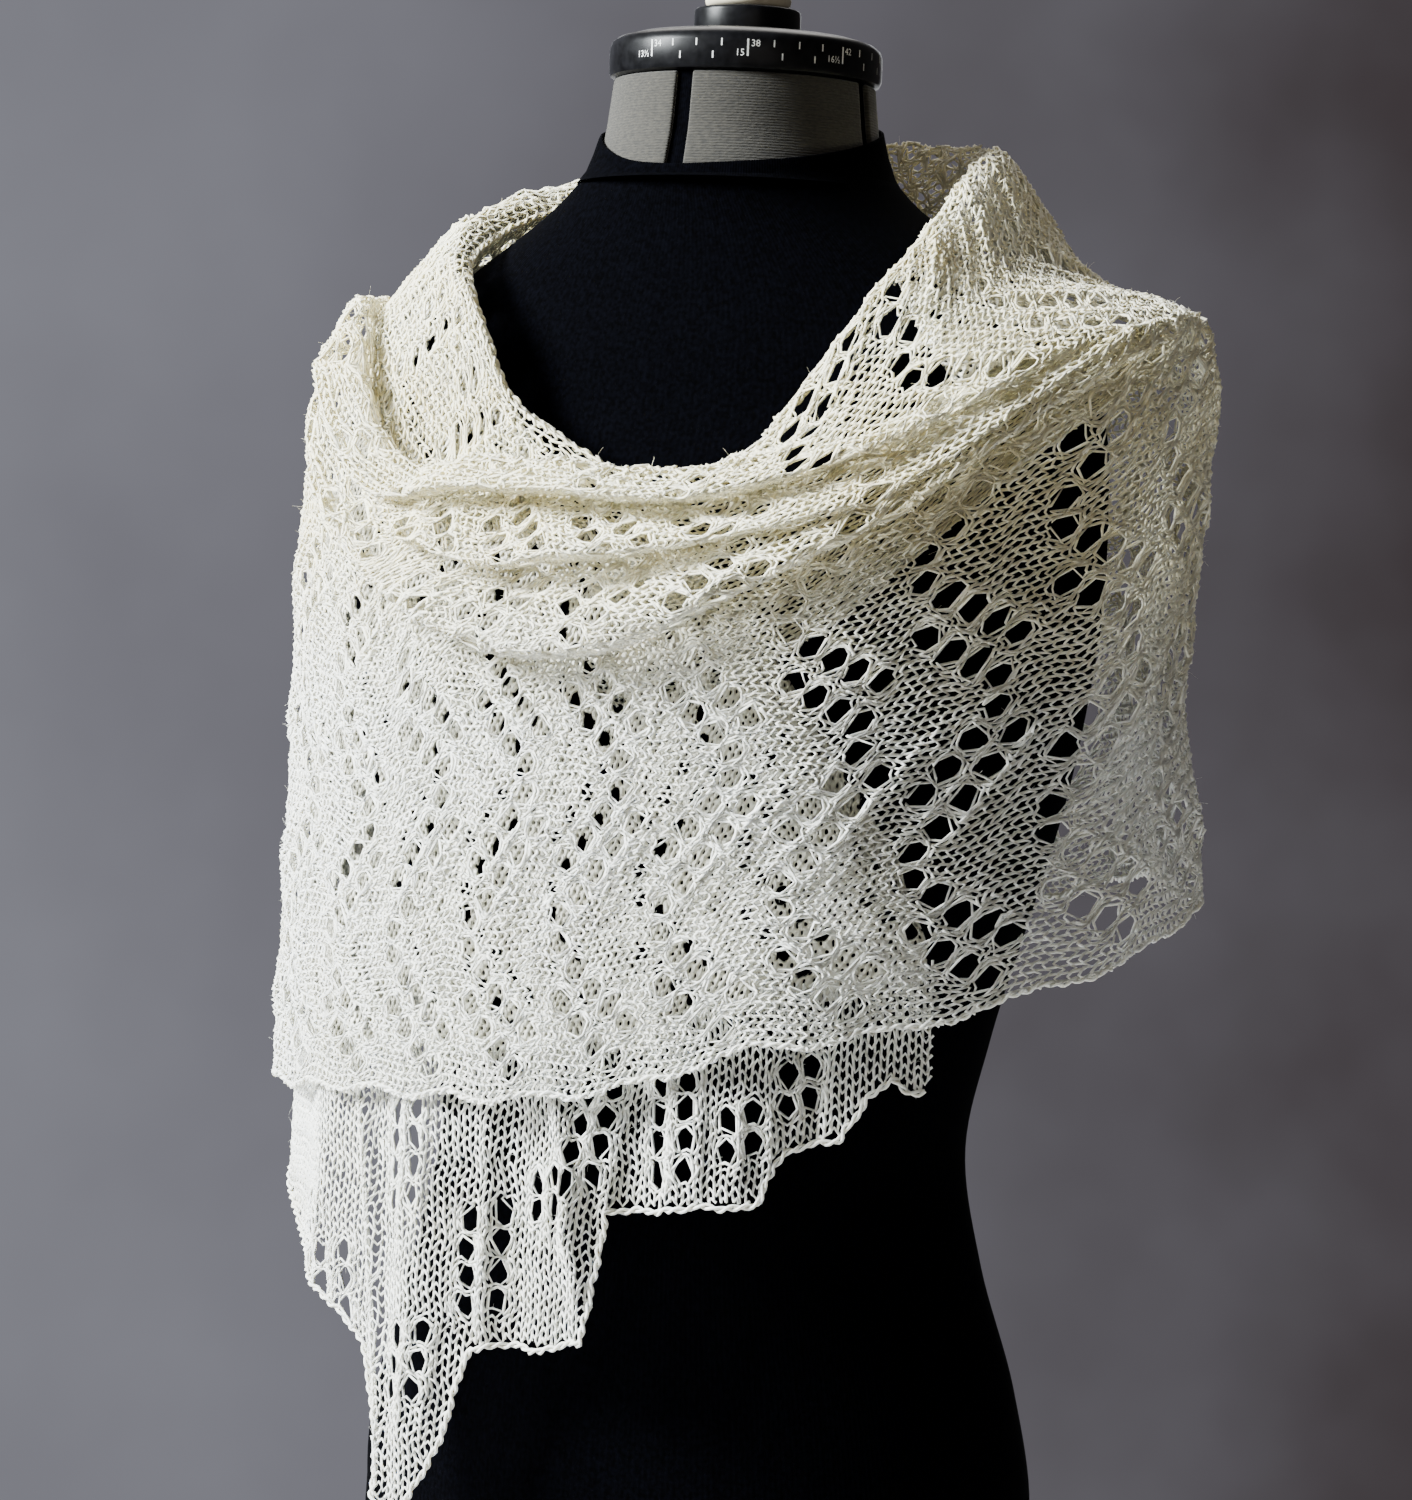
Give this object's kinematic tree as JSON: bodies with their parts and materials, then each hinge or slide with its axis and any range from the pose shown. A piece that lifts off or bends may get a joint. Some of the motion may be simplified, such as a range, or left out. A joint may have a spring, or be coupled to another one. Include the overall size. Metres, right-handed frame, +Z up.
{
  "type": "lace shawl on a dress form",
  "caption": "Cream knitted lace stole wound round the shoulders of a limbless dress form on a short pole and round base, its front end hanging below the wrap.",
  "frame": {"origin": "centre of the stand base's underside", "axes": "+Z up along the form's upright axis; the form faces -Y and its left side is at +X"},
  "size_m": [0.4285, 0.3307, 1.0163],
  "materials": {
    "yarn": "soft slightly hairy cream lace yarn",
    "jersey": "matte black jersey cover",
    "neck_cover": "beige ribbed jersey",
    "dial_plastic": "satin black plastic",
    "knob_plastic": "cream plastic",
    "pole_steel": "brushed tube",
    "base_paint": "satin black"
  },
  "bodies": {
    "root": {"shawl_left_shoulder": "yarn", "shawl_front": "yarn", "shawl_wrap_end": "yarn", "shawl_back_left": "yarn", "shawl_back_right": "yarn", "shawl_hanging_end": "yarn", "form_torso": "jersey", "form_neck": "neck_cover", "form_neck_dial": "dial_plastic", "form_cap_ring": "dial_plastic", "form_cap_knob": "knob_plastic", "stand_pole": "pole_steel", "stand_base": "base_paint"}
  },
  "joints": []
}
